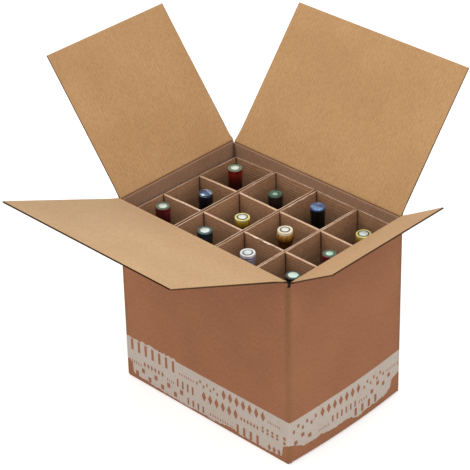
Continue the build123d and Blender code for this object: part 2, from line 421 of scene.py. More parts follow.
class Side:
    """One side: out points away from the carton, along runs beside the wall, hinge is a point on the fold."""

    def __init__(self, name):
        joint = next(j for j in frame["joints"] if j["name"] == f"flap_{name}_fold")
        self.name = name
        self.flap = f"flap_{name}"
        self.hinge = np.array(joint["pos_m"])
        self.fold = self.hinge[2]
        self.out = np.sign(np.round(self.hinge, 6)) * (1, 1, 0)
        self.along = np.cross(UP, self.out)
        self.face, self.half_face = (HALF_LENGTH, HALF_WIDTH) if self.out[0] else (HALF_WIDTH, HALF_LENGTH)
        self.half_span = self.half_face - SLOT_WIDTH
        opening = math.radians(180 - joint["range_deg"][1])
        self.direction = self.out * math.cos(opening) + UP * math.sin(opening)
        self.normal = UP * math.cos(opening) - self.out * math.sin(opening)
        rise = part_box(self.flap)[1].z - self.fold - BOARD * math.cos(opening)
        self.flap_length = rise / math.sin(opening)

    def wall(self, s, t, d):
        """Point of the wall: s along it, t up, d inwards from its outer face."""
        bulge = wall_bulge(self.name, s / self.half_span, t / self.fold)
        return (self.face - d + bulge)[..., None] * self.out + s[..., None] * self.along + t[..., None] * UP

    def foot_bulge(self, s):
        return wall_bulge(self.name, s / self.half_span, np.zeros_like(s))

    def leaf(self, s, t, d):
        """Point of the flap: s along the fold, t away from it, d from the outer face to the inner one."""
        beside = widened(self, s, t)[..., None] * self.along
        return self.hinge + beside + t[..., None] * self.direction + d[..., None] * self.normal


# How far a flap widens at its root, towards each end of its fold
ROOT_WIDER = {
    ("front_left", 1): 4.5 * MM, ("front_left", -1): 2.0 * MM,
    ("front_right", -1): 0.5 * MM, ("front_right", 1): 2.0 * MM,
    ("back_left", -1): 3.2 * MM, ("back_left", 1): 1.0 * MM,
    ("back_right", 1): 3.0 * MM, ("back_right", -1): 1.5 * MM,
}
ROOT_LENGTH = 14 * MM


def slot_foot(end):
    """Height of the top of the upright corners at the front or at the back."""
    if end == "back":
        return SIDES["back_right"].fold - BACK_SLOT_DEPTH
    return SIDES["back_left"].fold - FRONT_SLOT_DEPTH


def widened(side, s, t):
    """s stretched so that the flap follows its side edges at the distance t from the fold."""
    share = s / side.half_span
    slot = side.fold - slot_foot("back" if side.name == "back_right" else "front")
    root = np.exp(-((np.maximum(t, 0) / ROOT_LENGTH) ** 2)) * np.clip((t / slot + 1.2) / 0.2, 0, 1)
    extra = 0
    for end in (-1, 1):
        extra = extra + end * np.clip(end * share, 0, 1) ** 6 * ROOT_WIDER[(side.name, end)] * root
    return s + extra


# How far the walls bow outwards at most
BULGES = {"front_right": 6.0 * MM, "front_left": 0.8 * MM, "back_left": 1.0 * MM, "back_right": 1.2 * MM}


def wall_bulge(name, across, up):
    """How far a wall bows outwards: nothing at the corners and the fold, most in the middle of its foot."""
    crown = np.clip(1 - across**2, 0, 1)
    down = np.clip(1 - up, 0, 1)
    return BULGES[name] * crown * down * (2 - down)


SIDES = {name: Side(name) for name in ("back_left", "back_right", "front_left", "front_right")}
SHORT_SIDES = ("back_left", "front_right")


def wall_columns(half_span):
    return steps(-half_span, half_span, FLUTE_PITCH / STEPS_PER_FLUTE)


def corner_place(x_sign, y_sign):
    """Sheet position to point round one upright corner, with a little of each wall beside it."""
    turn = math.pi / 2 * CORNER_RADIUS
    straight = SLOT_WIDTH - CORNER_RADIUS
    centre = np.array([x_sign * (HALF_LENGTH - CORNER_RADIUS), y_sign * (HALF_WIDTH - CORNER_RADIUS), 0])

    def place(s, t, d):
        angle = np.clip((s - straight) / turn, 0, 1) * math.pi / 2
        before = np.clip(straight - s, 0, None)
        after = np.clip(s - straight - turn, 0, None)
        x = (CORNER_RADIUS - d) * np.cos(angle) - after
        y = (CORNER_RADIUS - d) * np.sin(angle) - before
        return centre + np.stack([x_sign * x, y_sign * y, t], axis=-1)

    return place, 2 * straight + turn


def stripe_strength(t):
    """How strong the darker stripe outside a corner is at the height t: most near the fold."""
    return 0.4 + 0.6 * np.clip((t - STRIPE_LOW) / (STRIPE_HIGH - STRIPE_LOW), 0, 1)


def build_carton():
    maker = Maker()
    slots = (0, 1, 2, 3)
    for side in SIDES.values():
        bottom = BOARD + INNER_FOLD if side.name in SHORT_SIDES else OUTER_FOLD
        rows = steps(bottom, side.fold - CREASE_REACH, WALL_ROWS)

        def wall_shades(s, t):
            # inner face: painted shade near the corners; outer face: the darker stripe outside them
            beside = np.clip(1 - (side.half_span - np.abs(s)) / CORNER_GLOOM, 0, 1)
            return 1 - 0.4 * beside * stripe_strength(t), 1 - 0.6 * beside

        fluted_board(maker, side.wall, wall_columns(side.half_span), rows, slots, shades=wall_shades)
    for x_sign in (-1, 1):
        for y_sign in (-1, 1):
            place, length = corner_place(x_sign, y_sign)
            top = slot_foot("back" if y_sign > 0 else "front")
            rows = (BOARD, 0.1, 0.2, 0.3, top)

            def corner_shades(s, t):
                # outer face: the darker stripe; inner face: painted shade inside the corner
                darkness = 0.8 - 0.4 * np.abs(s - length / 2) / (length / 2)
                return 1 - darkness * stripe_strength(t), CORNER_LIGHT

            columns = np.linspace(0, length, 17)
            fluted_board(maker, place, columns, rows, (4, 5, 2, 3), wash=0.0, shades=corner_shades)
    build_bottom(maker, slots)
    materials = [OUTER, WALL_INSIDE, CUT, FLUTES, CORNER_OUTSIDE, CORNER_INSIDE]
    maker.finish("carton_board", materials, "carton", ["carton"], "outer_board")


def build_bottom(maker, slots):
    """Two long-side flaps outside and two short-side flaps glued on them, with rounded folds to the walls."""
    turn = np.linspace(0, 1, 7)
    for name, y_sign in (("front_left", -1), ("back_right", 1)):
        side = SIDES[name]
        inner_edge = SEAM_PLACE + y_sign * SEAM / 2
        outer_edge = y_sign * (HALF_WIDTH - OUTER_FOLD)

        def outer_leaf(s, t, d):
            return np.stack([s, outer_edge + (inner_edge - outer_edge) * t, d], axis=-1)

        def outer_fold(s, t, d):
            angle = t * math.pi / 2
            radius = OUTER_FOLD - np.minimum(d, OUTER_FOLD * 0.8)
            y = HALF_WIDTH - OUTER_FOLD + radius * np.sin(angle) + side.foot_bulge(s) * t
            return np.stack([s, y_sign * y, OUTER_FOLD - radius * np.cos(angle)], axis=-1)

        columns = wall_columns(HALF_LENGTH - OUTER_LEAF_INSET)
        fluted_unit(maker, outer_leaf, columns, turn, abs(inner_edge - outer_edge), slots)
        maker.shell(outer_fold, *np.meshgrid(columns, turn), 0.0, LINER, (0, 3, 2))
    for name, x_sign in (("back_left", -1), ("front_right", 1)):
        side = SIDES[name]

        def inner_leaf(s, t, d):
            x = x_sign * (HALF_LENGTH - BOARD + (SEAM / 2 - HALF_LENGTH + BOARD) * t)
            return np.stack([x, s, BOARD + d], axis=-1)

        def inner_fold(s, t, d):
            angle = t * math.pi / 2
            radius = INNER_FOLD - d
            x = HALF_LENGTH - INNER_FOLD + radius * np.sin(angle) + side.foot_bulge(s)
            return np.stack([x_sign * x, s, BOARD + INNER_FOLD - radius * np.cos(angle)], axis=-1)

        def inner_return(s, t, d):
            start, end = HALF_LENGTH - INNER_FOLD + side.foot_bulge(s), HALF_LENGTH - BOARD
            return np.stack([x_sign * (start + (end - start) * t), s, BOARD + d], axis=-1)

        columns = wall_columns(HALF_WIDTH - BOARD - SEAM)
        fluted_unit(maker, inner_leaf, columns, np.linspace(0, 1, 6), HALF_LENGTH, slots)
        for place in (inner_fold, inner_return):
            maker.shell(place, *np.meshgrid(columns, turn), 0.0, LINER, (0, 3, 2))


def fluted_unit(maker, place, columns, rows, length, slots):
    """A fluted board whose rows run from 0 to 1. The sheet position that the materials see is in metres."""
    fluted_board(maker, lambda s, t, d: place(s, t / length, d), columns, rows * length, slots)


SIDE_KEEP = 0.82
PRESSED_REACH = 3 * MM
FLAP_ROWS = 24 * MM
LEFT_DIM = 0.24


def inside_of(side):
    """The inner liner of a flap: a paler, whiter copy on the front left one, painted sheen."""
    return INNER_PAINTED_SHEEN if side.name == "front_left" else INNER


def leaf_light(side, s):
    """How light the inner liner of a flap is: the front left one darkens a little towards its left end."""
    if side.name != "front_left":
        return np.ones_like(s)
    return 1 - LEFT_DIM * np.clip(-s / side.half_span, 0, 1)


def build_flap(side):
    """A top flap beyond its crease. Its cut edges are pressed a little thinner by the die."""
    half, length = side.half_span, side.flap_length

    def squeeze(s, t):
        to_side = np.clip((half - np.abs(s)) / PRESSED_REACH, 0, 1)
        to_free = np.clip((length - t) / PRESSED_REACH, 0, 1)
        return SIDE_KEEP + (1 - SIDE_KEEP) * np.minimum(to_side, to_free)

    def leaf_shades(s, t):
        return 1.0, leaf_light(side, s)

    maker = Maker()
    edge = np.array([0, 1.0, 3.0]) * MM
    columns = np.concatenate([-half + edge, wall_columns(half - 4 * MM), half - edge[::-1]])
    rows = np.concatenate([steps(CREASE_REACH, length - 5 * MM, FLAP_ROWS), length - edge[::-1]])
    fluted_board(maker, side.leaf, columns, rows, (0, 1, 2, 3), squeeze=squeeze, shades=leaf_shades)

    # what closes the board just inside its cut edges
    near, far = 0.2 * MM, 2 * MM
    plugs = [(np.sort([end * (half - near), end * (half - far)]), rows, 4) for end in (-1, 1)]
    if side.name == "front_right":
        plugs.append((columns, (length - far, length - near), 3))
    pressed = (1 - SIDE_KEEP) * BOARD / 2 + LINER + 0.1 * MM
    for plug_s, plug_t, slot in plugs:
        maker.shell(side.leaf, *np.meshgrid(plug_s, plug_t), pressed, BOARD - pressed, (slot,) * 3)
    materials = [OUTER, inside_of(side), CUT, FLUTES, SIDE_CUT]
    maker.finish(f"{side.flap}_board", materials, side.flap, [side.flap], "flap_board")


CREASE_ROWS = np.array([0.05, 0.1, 0.16, 0.24, 0.34, 0.46, 0.62, 0.8, 1]) * CREASE_REACH
CREASE_GAP = 0.25 * MM


def dented(t):
    """Depth of the inner face of the board across a crease, least along its middle."""
    return BOARD - (BOARD - CREASE_CORE) * np.exp(-((t / CREASE_DENT) ** 2))


def build_crease(side):
    """The scored fold between wall and flap, pressed thin along its middle."""
    root = side.out * side.face + UP * side.fold

    def place(s, t, d):
        turn = np.clip((t / CREASE_ROLL + 1) / 2, 0, 1)[..., None]
        across = side.normal * turn - side.out * (1 - turn)
        across = across / np.linalg.norm(across, axis=-1, keepdims=True)
        on_wall = root + UP * np.minimum(t, 0)[..., None]
        on_leaf = side.hinge + side.direction * np.maximum(t, 0)[..., None]
        eased = turn * turn * (3 - 2 * turn)
        spine = on_wall * (1 - eased) + on_leaf * eased
        return spine + widened(side, s, t)[..., None] * side.along + d[..., None] * across

    t = np.concatenate([-CREASE_ROWS[::-1], [0], CREASE_ROWS])
    grid_s, grid_t = np.meshgrid(wall_columns(side.half_span), t)
    relief = WASHBOARD + WASHBOARD * np.cos(2 * math.pi * grid_s / FLUTE_PITCH)
    relief = relief * np.clip(np.abs(grid_t) / CREASE_REACH, 0, 1)
    high = dented(grid_t) - relief
    maker = Maker()
    maker.shell(place, grid_s, grid_t, relief, relief + LINER, (0, 3, 2))
    row_middle = (t[1:] + t[:-1]) / 2
    inner_slots = np.where(np.abs(row_middle) < CREASE_LINE, 1, np.where(row_middle < 0, 5, 4))[:, None]
    light = 1 - (1 - leaf_light(side, grid_s)) * np.clip(grid_t / CREASE_REACH, 0, 1)
    maker.shell(place, grid_s, grid_t, high - LINER, high, (3, inner_slots, 2), light)

    # the flutes pressed flat between the liners, seen at the crease's ends
    for end in (-1, 1):
        ends = np.sort([end * (side.half_span - 0.8 * MM), end * (side.half_span - 6 * MM)])
        grid_s, grid_t = np.meshgrid(ends, t)
        high = dented(grid_t) - LINER - CREASE_GAP
        maker.shell(place, grid_s, grid_t, np.minimum(LINER + CREASE_GAP, high - 0.1 * MM), high, (3, 3, 3))
    start = tuple(side.hinge - UP * CREASE_REACH)
    end = tuple(side.hinge + side.direction * BEND_END)
    materials = [OUTER, CREASE, CUT, FLUTES, inside_of(side), WALL_INSIDE]
    blend = ("carton", side.flap, start, end)
    maker.finish(f"crease_{side.name}", materials, None, slot="flap_board", blend=blend)


build_carton()
for side in SIDES.values():
    build_flap(side)
    build_crease(side)


# Glue tab of the back left wall, stuck inside the front left wall

TAB_LENGTH = 35 * MM
TAB_TAPER = 12 * MM


def build_glue_tab():
    top = SIDES["back_left"].fold - 2 * FRONT_SLOT_DEPTH

    def place(s, t, d):
        taper = TAB_TAPER * (s / TAB_LENGTH)
        low, high = FLOOR + taper, top - taper
        z = low + (high - low) * t / (top - FLOOR)
        return np.stack([-HALF_LENGTH + BOARD + s, -HALF_WIDTH + BOARD + d, z], axis=-1)

    maker = Maker()
    columns = steps(0, TAB_LENGTH, FLUTE_PITCH / STEPS_PER_FLUTE)
    fluted_board(maker, place, columns, steps(0, top - FLOOR, 60 * MM), (0, 1, 2, 3), wash=0.0)
    maker.finish("glue_tab", [WALL_INSIDE, WALL_INSIDE, CUT, FLUTES], "carton", slot="outer_board")


build_glue_tab()


# Insert

SLEEVE_FOLD = 3.2 * MM
SLEEVE_JOINT = 0.8 * MM
WEB_THICKNESS = 5.0 * MM
WEB_PLAY = 0.3 * MM
WEB_SLIT = 0.15 * MM
WEB_TAB_FOOT = 190 * MM
WEB_TAB_HEIGHT = 60 * MM
# width of the painted shade lines in the folds and where webs meet the sleeves, and how far they fade
PAINTED_SHADE_LINE = 0.9 * MM
LINE_FADE = 2.4 * MM

WEB_ROWS = 40 * MM
WEB_COLUMNS = 8 * MM

# Cut edges of the insert: how far they wander, how far apart they turn, and how far the sleeves' ones lie
# below their solids
RAGGED = 0.5 * MM
SLEEVE_TURNS = 9 * MM
WEB_TURNS = 16 * MM
EDGE_TRIM = 0.4 * MM

# How far down light reaches into the gap outside a sleeve, and how dark the painted shade is below it
GAP_LIGHT = 4 * MM
GAP_GLOOM = 0.8


def middle_y(node):
    low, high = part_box(node)
    return (low.y + high.y) / 2


def wrap_path(low, high, webs):
    """The folded strip from one end of its joint in the front end wall round to the other. Returns the
    lengths of its points, how light each one is, and a function from height, length and depth to a point.
    The folds and the lines beside the webs are dark: painted shade in the sleeve's inner
    corners and where the webs meet it."""
    x0, y0, x1, y1 = low.x, low.y, high.x, high.y
    joint = (x0 + x1) / 2
    radius = SLEEVE_FOLD
    past_fold = radius + LINE_FADE
    found = []

    def corner(x, y, start):
        for step in range(5):
            angle = math.radians(start + 22.5 * step)
            out_x, out_y = math.cos(angle), math.sin(angle)
            found.append((x + radius * out_x, y + radius * out_y, -out_x, -out_y, 0.0))

    stops = [*np.linspace(y0 + 3 * radius, y1 - 3 * radius, 15), y0 + past_fold, y1 - past_fold]
    # painted shade in the folds (above) and in lines beside each web face
    dark = set()
    for web in webs:
        stops = [y for y in stops if abs(y - web) > WEB_THICKNESS / 2 + 2 * LINE_FADE]
    for web in webs:
        for sign in (-1, 1):
            face = web + sign * WEB_THICKNESS / 2
            line_end = face + sign * PAINTED_SHADE_LINE
            dark.update((face, line_end))
            stops += [face - sign * LINE_FADE / 2, face, line_end, face + sign * LINE_FADE]
    stops.sort()

    found += [(joint + SLEEVE_JOINT / 2, y0, 0, 1, 1.0), (x1 - past_fold, y0, 0, 1, 1.0)]
    corner(x1 - radius, y0 + radius, -90)
    found += [(x1, y, -1, 0, 0.0 if y in dark else 1.0) for y in stops]
    corner(x1 - radius, y1 - radius, 0)
    found += [(x1 - past_fold, y1, 0, -1, 1.0), (x0 + past_fold, y1, 0, -1, 1.0)]
    corner(x0 + radius, y1 - radius, 90)
    found += [(x0, y, 1, 0, 0.0 if y in dark else 1.0) for y in reversed(stops)]
    corner(x0 + radius, y0 + radius, 180)
    found += [(x0 + past_fold, y0, 0, 1, 1.0), (joint - SLEEVE_JOINT / 2, y0, 0, 1, 1.0)]
    x_line, y_line, x_normal, y_normal, light = np.array(found).T
    lengths = np.concatenate([[0], np.cumsum(np.hypot(np.diff(x_line), np.diff(y_line)))])

    def place(s, t, d):
        x = np.interp(t, lengths, x_line) + d * np.interp(t, lengths, x_normal)
        y = np.interp(t, lengths, y_line) + d * np.interp(t, lengths, y_normal)
        return np.stack([x, y, s], axis=-1)

    return lengths, light, place


def ragged_line(seed, length, size, spacing):
    """A random line: a function of length, between -size and size, the same each run."""
    draw = np.random.default_rng(seed)
    knots = np.arange(0, length + 2 * spacing, spacing)
    values = draw.uniform(-size, size, len(knots))
    return lambda s: np.interp(s, knots, values)


def sunk(column, x, y):
    """How much lower than the rest the first column's sleeve and webs end, most at the far corner."""
    if column != 1:
        return 0.0
    low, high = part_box("column_sleeve_1")
    across = np.clip((x - low.x) / (high.x - low.x), 0, 1)
    back = np.clip((y - low.y) / (high.y - low.y), 0, 1)
    return ((1 - across) * (3 + 4.5 * back**3) + across * (0.5 + 2.0 * back**4)) * MM


def build_sleeve(number):
    """A strip of thinner board folded round three cells. Its flutes run level, so s is the height here."""
    low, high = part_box(f"column_sleeve_{number}")
    webs = [middle_y(f"cross_web_{number}_{row}") for row in (1, 2)]
    lengths, light, flat_place = wrap_path(low, high, webs)
    top = high.z
    ragged = ragged_line(number, lengths[-1], RAGGED, SLEEVE_TURNS)

    def place(s, t, d):
        made = flat_place(s, t, d)
        share = np.clip((s - low.z) / (top - low.z), 0, None)
        made[..., 2] -= share * sunk(number, made[..., 0], made[..., 1])
        return made

    def strip(split, spacing, coarse):
        """Grids over the whole strip, closer above the height split, the last points on the ragged edge."""
        heights = np.concatenate([steps(low.z, split, coarse), steps(split, top, spacing)[1:]])
        grid_s, grid_t = np.meshgrid(heights, lengths)
        grid_s[:, -1] += ragged(lengths) - EDGE_TRIM
        return grid_s, grid_t

    def flutes(s):
        """The wave of the flutes, which starts at another height in each sleeve."""
        return np.cos(2 * math.pi * (s / INSERT_PITCH + 0.17 * number))

    # towards the cells the wave of the flutes, outside a plain liner that only the narrow gaps show
    maker = Maker()
    fine_from = top - FINE_DEPTH
    grid_s, grid_t = strip(fine_from, INSERT_ROWS, 30 * MM)
    wave = INSERT_WASHBOARD * flutes(grid_s) * np.clip((grid_s - fine_from) / (20 * MM), 0, 1)
    skin_depth = INSERT_BOARD - INSERT_WASHBOARD - wave
    # the inner face carries the painted shade of the folds and of the lines beside the webs
    maker.shell(place, grid_s, grid_t, skin_depth - INSERT_LINER, skin_depth, (2, 0, 1), light[:, None])
    grid_s, grid_t = strip(top - 20 * MM, GAP_LIGHT, HIDDEN_ROWS)
    # painted shade in the gaps between the sleeves, below the top
    outside = 1 - GAP_GLOOM * np.clip((top - grid_s) / GAP_LIGHT, 0, 1)
    maker.shell(place, grid_s, grid_t, INSERT_WASHBOARD, INSERT_WASHBOARD + INSERT_LINER, (0, 2, 1), outside)

    # below the pressed cut the fluted sheet, above it the fibres that close the edge
    fine = steps(top - HIDDEN_FLUTES, top - CLOSED_EDGE, INSERT_PITCH / FINE_STEPS_PER_FLUTE)
    bends = np.concatenate([[0], lengths[light == 0], [lengths[-1]]])
    grid_s, grid_t = np.meshgrid(fine, bends)
    swing = INSERT_BOARD / 2 - INSERT_LINER - INSERT_WASHBOARD - FLUTE_SHEET / 2
    line = INSERT_BOARD / 2 - swing * flutes(grid_s)
    maker.shell(place, grid_s, grid_t, line - FLUTE_SHEET / 2, line + FLUTE_SHEET / 2, (2, 2, 2))
    grid_s, grid_t = np.meshgrid((top - CLOSED_EDGE, top - 0.5 * MM), lengths)
    grid_s = grid_s + ragged(grid_t) * (0.0, 0.8)
    inset = INSERT_LINER + 0.1 * MM
    maker.shell(place, grid_s, grid_t, inset, INSERT_BOARD - inset, (1, 1, 1))
    materials = [INSERT, PALE_CUT, FLUTES]
    maker.finish(f"sleeve_{number}_board", materials, "carton", [f"column_sleeve_{number}"], "insert_board")


def build_web(column, row):
    """A web of board folded double over its top edge, with tabs in the sleeve's slots."""
    node = f"cross_web_{column}_{row}"
    low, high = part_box(node)
    sleeve_low, sleeve_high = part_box(f"column_sleeve_{column}")
    y = (low.y + high.y) / 2
    half = (high.y - low.y) / 2
    leg = half - WEB_SLIT
    x0, x1 = sleeve_low.x + INSERT_BOARD + WEB_PLAY, sleeve_high.x - INSERT_BOARD - WEB_PLAY
    turn_height = high.z - half
    bend = math.pi * half
    straight = turn_height - low.z
    total = 2 * straight + bend
    sag = ragged_line(40 + 2 * column + row, x1 - x0, RAGGED, WEB_TURNS)

    def place(s, t, d):
        """s runs up one leg, over the fold and down the other, t along X, d inwards."""
        angle = np.clip((s - straight) / bend, 0, 1) * math.pi
        rise = np.minimum(s, straight) - np.clip(s - straight - bend, 0, None)
        radius = np.maximum(half - d, WEB_SLIT)
        z = low.z + rise + (radius - RAGGED + sag(t - x0)) * np.sin(angle)
        z = z - np.clip(rise / straight, 0, 1) * sunk(column, t, y)
        return np.stack([t, y - radius * np.cos(angle), z], axis=-1)

    over_fold = np.linspace(straight, straight + bend, 13)[1:]
    s = np.concatenate([
        steps(0, straight - FINE_DEPTH, WEB_ROWS),
        steps(straight - FINE_DEPTH, straight, INSERT_ROWS)[1:],
        over_fold,
        steps(straight + bend, straight + bend + FINE_DEPTH, INSERT_ROWS)[1:],
        steps(straight + bend + FINE_DEPTH, total, WEB_ROWS)[1:],
    ])
    inner_t = steps(x0 + LINE_FADE, x1 - LINE_FADE, WEB_COLUMNS)
    t = np.concatenate([[x0, x0 + PAINTED_SHADE_LINE], inner_t, [x1 - PAINTED_SHADE_LINE, x1]])
    # painted shade along both ends of the web, where it meets the sleeve
    light = np.ones(len(t))
    light[[0, 1, -2, -1]] = 0
    grid_s, grid_t = np.meshgrid(s, t)
    from_fold = np.abs(grid_s - (straight + bend / 2)) - bend / 2
    fade = np.clip(from_fold / (4 * MM), 0, 1) * np.clip((FINE_DEPTH - from_fold) / (10 * MM), 0, 1)
    wave = INSERT_WASHBOARD * np.cos(2 * math.pi * (from_fold / INSERT_PITCH + 0.3 * row)) * fade
    maker = Maker()
    outer = INSERT_WASHBOARD + wave
    row_middle = (s[1:] + s[:-1]) / 2
    # the pale band over the fold: wear and painted highlight
    on_fold = np.abs(row_middle - (straight + bend / 2)) < bend * WEAR_AND_HIGHLIGHT_SHARE / 2
    outer_slots = np.where(on_fold, 3, 0)[None, :]
    down_the_leg = np.clip(from_fold / (5 * MM), 0, 1)
    shade = 1 - (1 - light[:, None]) * down_the_leg
    maker.shell(place, grid_s, grid_t, outer, outer + INSERT_LINER, (outer_slots, 2, 1), shade)
    inner = leg - 0.1 * MM
    hidden_legs = (steps(0, straight, HIDDEN_ROWS), steps(straight + bend, total, HIDDEN_ROWS)[1:])
    grids = np.meshgrid(np.concatenate([hidden_legs[0], over_fold, hidden_legs[1]]), t)
    maker.shell(place, *grids, inner - INSERT_LINER, inner, (2, 2, 1))
    add_tabs(maker, sleeve_low.x, sleeve_high.x, y, leg, x0, x1)
    materials = [INSERT, PALE_CUT, FLUTES, WEB_FOLD_WEAR_AND_HIGHLIGHT]
    maker.finish(f"web_{column}_{row}_board", materials, "carton", [node], "insert_board")


def add_tabs(maker, x_low, x_high, y, leg, x0, x1):
    """The tabs at both ends of a web, one on each leg, which stand in the sleeve's slots."""
    for start, end in ((x_low, x0 + 1 * MM), (x1 - 1 * MM, x_high)):
        for sign in (-1, 1):
            def place(s, t, d):
                x = start + (end - start) * t
                return np.stack([x, y + sign * (WEB_SLIT + d), WEB_TAB_FOOT + s], axis=-1)

            grids = np.meshgrid(steps(0, WEB_TAB_HEIGHT, 10 * MM), (0.0, 1.0))
            maker.shell(place, *grids, 0.0, leg - WEB_SLIT, (0, 0, 1))


for column in range(1, 5):
    build_sleeve(column)
    for row in (1, 2):
        build_web(column, row)


# Liner torn loose along two edges of the insert, as the photo shows

TORN_THICKNESS = 0.25 * MM
TORN_TURNS = 2.2 * MM
TORN_WIDTH_SHARE = 0.75
TORN_WANDER = 0.45


def build_torn(name, start, end, across, width, seed):
    """A ragged strip of liner from start to end. Its root is in the board, and it stands off along across."""
    start, end, across = np.array(start), np.array(end), np.array(across)
    length = np.linalg.norm(end - start)
    along = (end - start) / length
    ragged = ragged_line(seed, length, TORN_WANDER, TORN_TURNS)

    def place(s, t, d):
        rounded_ends = np.clip(4 * t / length * (1 - t / length), 0, 1) ** 0.2
        reach = s * width * (TORN_WIDTH_SHARE + ragged(t)) * rounded_ends
        lift = 0.25 * np.sin(t / (5 * MM)) * s
        on_edge = start + t[..., None] * along
        return on_edge + reach[..., None] * across + (d + lift * reach)[..., None] * UP

    grids = np.meshgrid(np.linspace(0, 1, 5), steps(0.5 * MM, length - 0.5 * MM, 1.1 * MM))
    maker = Maker()
    maker.shell(place, *grids, -TORN_THICKNESS, 0.0, (0, 0, 0))
    maker.finish(name, [TORN_LINER], "carton", slot="insert_board")


def build_torn_edges():
    low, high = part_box("column_sleeve_3")
    y = middle_y("cross_web_3_1") - 0.4 * MM
    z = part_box("cross_web_3_1")[1].z - 0.5 * MM
    start, end = (low.x + 7 * MM, y, z), (high.x - 7 * MM, y, z)
    build_torn("torn_liner_web", start, end, (0, -0.96, 0.28), 4.6 * MM, 61)
    x = low.x + INSERT_BOARD - 0.5 * MM
    z = high.z - 1.0 * MM
    start, end = (x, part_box("cross_web_3_2")[1].y + 2 * MM, z), (x, high.y - 6 * MM, z)
    build_torn("torn_liner_sleeve", start, end, (0.85, 0, 0.53), 3.4 * MM, 62)


build_torn_edges()


# Sealed bottles

def lathe(name, profile, materials, centre, replaced=(), sides=56):
    """A turned piece. profile holds (radius, height, material number of the band above this point)."""
    angles = np.linspace(0, 2 * math.pi, sides, endpoint=False)
    points = [
        (centre.x + radius * math.cos(angle), centre.y + radius * math.sin(angle), centre.z + height)
        for radius, height, _ in profile
        for angle in angles
    ]
    faces = []
    for first in range(0, len(points) - sides, sides):
        for k in range(sides):
            a, b = first + k, first + (k + 1) % sides
            faces.append((a, b, b + sides, a + sides))
    faces += [tuple(range(sides))[::-1], tuple(range(len(points) - sides, len(points)))]
    slots = [slot for _, _, slot in profile[:-1] for _ in angles]
    slots += [profile[0][2], profile[-1][2]]
    piece = add_piece(name, points, faces, slots, materials, 50)
    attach(piece, "carton")
    if replaced:
        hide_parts(*replaced)


def rounded(radius, height, fillet, turns, slot):
    """The points of a rounded outer edge whose top is at height."""
    angles = [math.pi / 2 * turn / turns for turn in range(turns + 1)]
    return [
        (radius - fillet + fillet * math.cos(angle), height - fillet + fillet * math.sin(angle), slot)
        for angle in angles
    ]


NECK_LENGTH = 91.0 * MM
SHOULDER_LENGTH = 152.0 * MM
TALLEST = 368.5 * MM
CAPSULE_LENGTH = 62.0 * MM
NECK_RADIUS = 13.4 * MM
CAPSULE_RADIUS = 14.3 * MM

# Capsules by cell: shape, tone of the side, its dark tone (for the smears, and for the painted shade lower
# down the side), and the rings of the top from its middle outwards, each with the share of the radius that it
# reaches to and its tone
CAPSULES = {
    (1, 1): ("plain", (116, 26, 34), (56, 14, 20), [(0.56, (226, 242, 232)), (0.9, (92, 130, 110))]),
    (1, 2): ("dome", (24, 32, 52), (10, 13, 22), []),
    (1, 3): ("plain", (160, 34, 24), (58, 14, 12), [(0.57, (248, 252, 244)), (0.92, (84, 134, 92))]),
    (2, 1): ("plain", (18, 48, 66), (8, 18, 28), [(0.62, (232, 246, 238)), (0.88, (62, 106, 96))]),
    (2, 2): ("rolled", (206, 170, 36), (96, 68, 14), [(0.56, (244, 250, 248)), (0.78, (70, 92, 72))]),
    (2, 3): ("plain", (56, 40, 42), (24, 18, 20), [(0.36, (170, 206, 190)), (0.88, (56, 104, 80))]),
    (3, 1): ("beaded", (206, 200, 224), (128, 122, 146), [(0.52, (242, 250, 248)), (0.7, (78, 94, 92))]),
    (3, 2): ("flared", (204, 152, 58), (88, 50, 14), [(0.5, (250, 252, 246)), (0.7, (70, 76, 58))]),
    (3, 3): ("soft", (18, 26, 28), (7, 10, 11), []),
    (4, 1): ("plain", (24, 20, 20), (9, 8, 8), [(0.66, (218, 244, 232)), (0.86, (54, 84, 72))]),
    (4, 2): ("plain", (122, 20, 36), (54, 10, 18), [(0.48, (214, 250, 232)), (0.86, (54, 116, 88))]),
    (4, 3): ("rolled", (214, 180, 42), (110, 80, 18), [(0.58, (238, 248, 246)), (0.8, (72, 108, 90))]),
}
# Tone of the rim where it isn't the side's
RIMS = {
    (1, 1): (96, 60, 58), (1, 3): (130, 110, 96), (2, 1): (40, 76, 84), (2, 2): (250, 240, 150),
    (2, 3): (40, 62, 52), (3, 1): (248, 248, 250), (3, 2): (255, 246, 216), (4, 1): (26, 32, 30),
    (4, 3): (246, 232, 130),
}
# Tones of the domed tops: the top's painted highlight, and patches of painted reflection on it
DOME_PAINTED_HIGHLIGHTS = {(1, 2): ((48, 78, 124), (200, 220, 238)), (3, 3): ((62, 98, 150), (112, 150, 200))}
GLASSES = {
    "dark": glass("dark_glass", (14, 22, 14), (28, 40, 22)),
    "amber": glass("amber_glass", (58, 34, 8), (116, 74, 22)),
    "green": glass("green_glass", (22, 40, 20), (44, 72, 34)),
}
GLASS_OF = {(3, 2): "amber", (1, 2): "green", (2, 2): "green", (4, 3): "amber", (3, 1): "green"}


